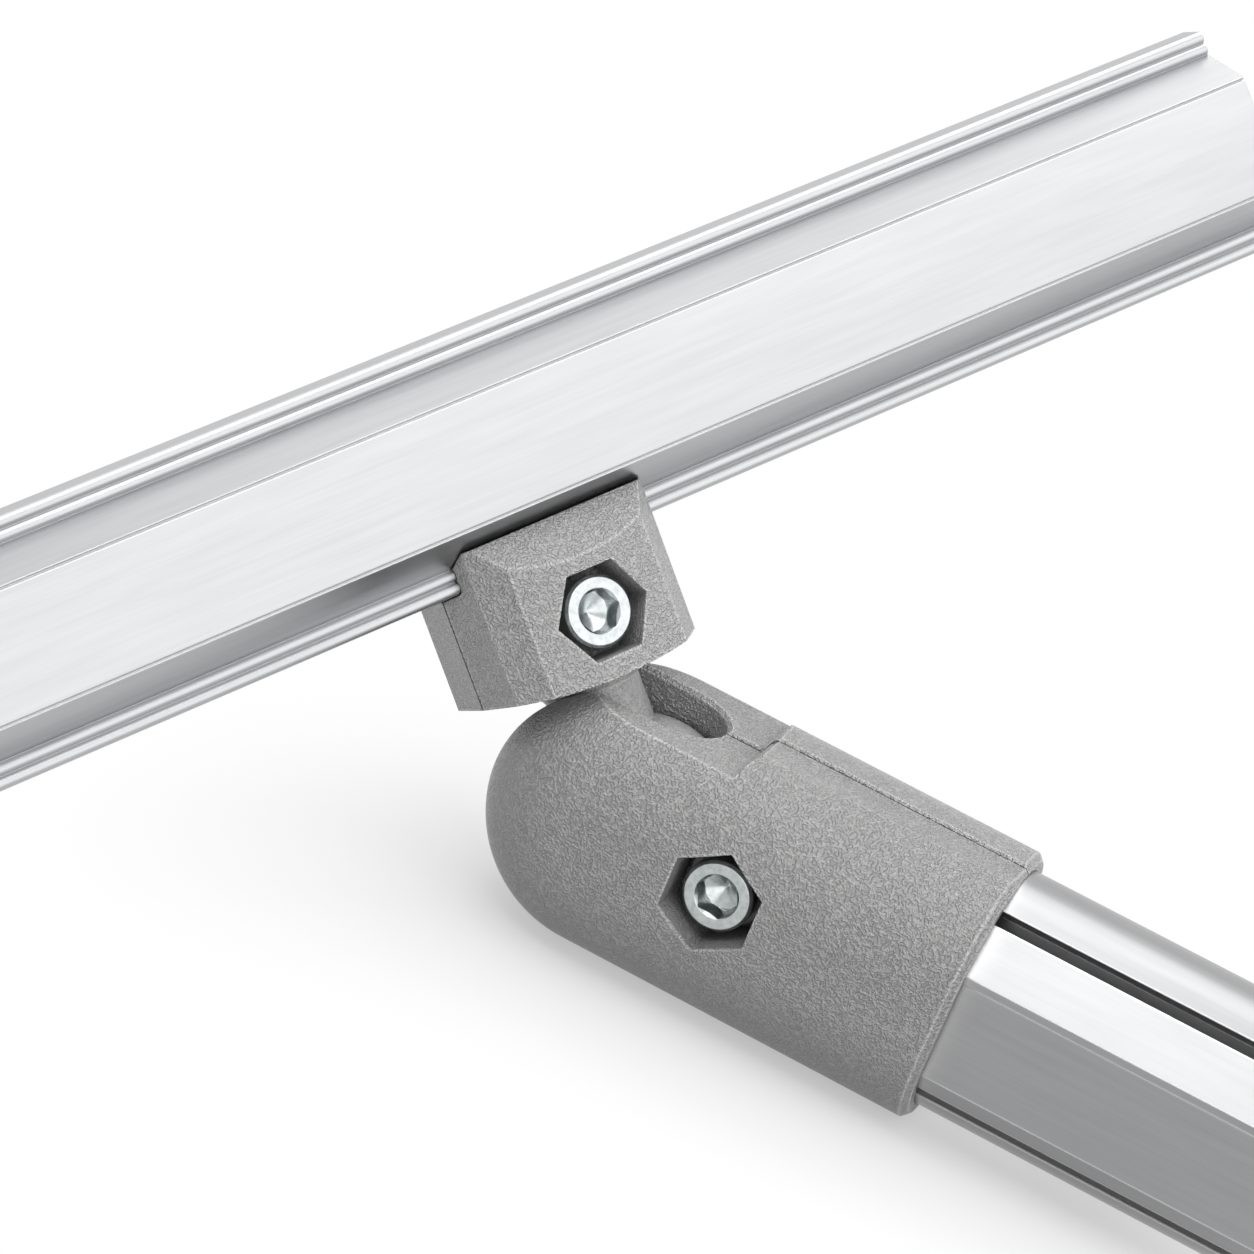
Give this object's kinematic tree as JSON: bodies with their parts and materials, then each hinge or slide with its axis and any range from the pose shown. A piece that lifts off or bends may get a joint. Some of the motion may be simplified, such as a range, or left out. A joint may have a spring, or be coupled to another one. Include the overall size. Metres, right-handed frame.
{
  "type": "profile pivot joint",
  "caption": "Ball-jointed clamp joining the end of a slotted round profile tube to the bead of a clamp rail, with two-part housing and jaw block.",
  "frame": {"origin": "centre of the core bore at the tube's free, cut end", "axes": "+X out of the tube along its axis, away from the joint; +Z towards the slotted side of the housing; the housing screw's head faces -Y"},
  "size_m": [0.1736, 0.1522, 0.1101],
  "materials": {
    "profile_tube": "satin anodised, drawn lines along the length",
    "housing_front_shell": "fine matt cast skin",
    "housing_rear_shell": "fine matt cast skin",
    "housing_clamp_screw": "bright zinc plated",
    "housing_screw_washer": "bright zinc plated",
    "housing_clamp_nut": "bright zinc plated",
    "ball_stud": "fine matt cast skin",
    "front_jaw": "fine matt cast skin",
    "rear_jaw": "fine matt cast skin",
    "jaw_clamp_screw": "bright zinc plated",
    "jaw_clamp_nut": "bright zinc plated",
    "clamp_rail": "satin anodised, drawn lines along the length"
  },
  "bodies": {
    "tube": {"profile_tube": "profile_tube"},
    "housing": {"housing_front_shell": "housing_front_shell", "housing_rear_shell": "housing_rear_shell", "housing_clamp_screw": "housing_clamp_screw", "housing_screw_washer": "housing_screw_washer", "housing_clamp_nut": "housing_clamp_nut"},
    "stud": {"ball_stud": "ball_stud"},
    "block": {"front_jaw": "front_jaw", "rear_jaw": "rear_jaw", "jaw_clamp_screw": "jaw_clamp_screw", "jaw_clamp_nut": "jaw_clamp_nut"},
    "rail": {"clamp_rail": "clamp_rail"}
  },
  "joints": [
    {"name": "tube_slide", "type": "slide", "parent": "tube", "child": "housing", "axis": [-1, 0, 0], "range_m": [0, 0.012]},
    {"name": "ball_swing", "type": "hinge", "parent": "housing", "child": "stud", "pos_m": [-0.092, 0, 0], "axis": [0, 1, 0], "range_deg": [-46, 43.5]},
    {"name": "block_twist", "type": "hinge", "parent": "stud", "child": "block", "pos_m": [-0.092, 0, 0], "axis": [-0.6921, 0, 0.7218], "continuous": true},
    {"name": "rail_slide", "type": "slide", "parent": "block", "child": "rail", "axis": [0.4792, 0.7478, 0.4595], "range_m": [-0.09, 0.064]}
  ]
}
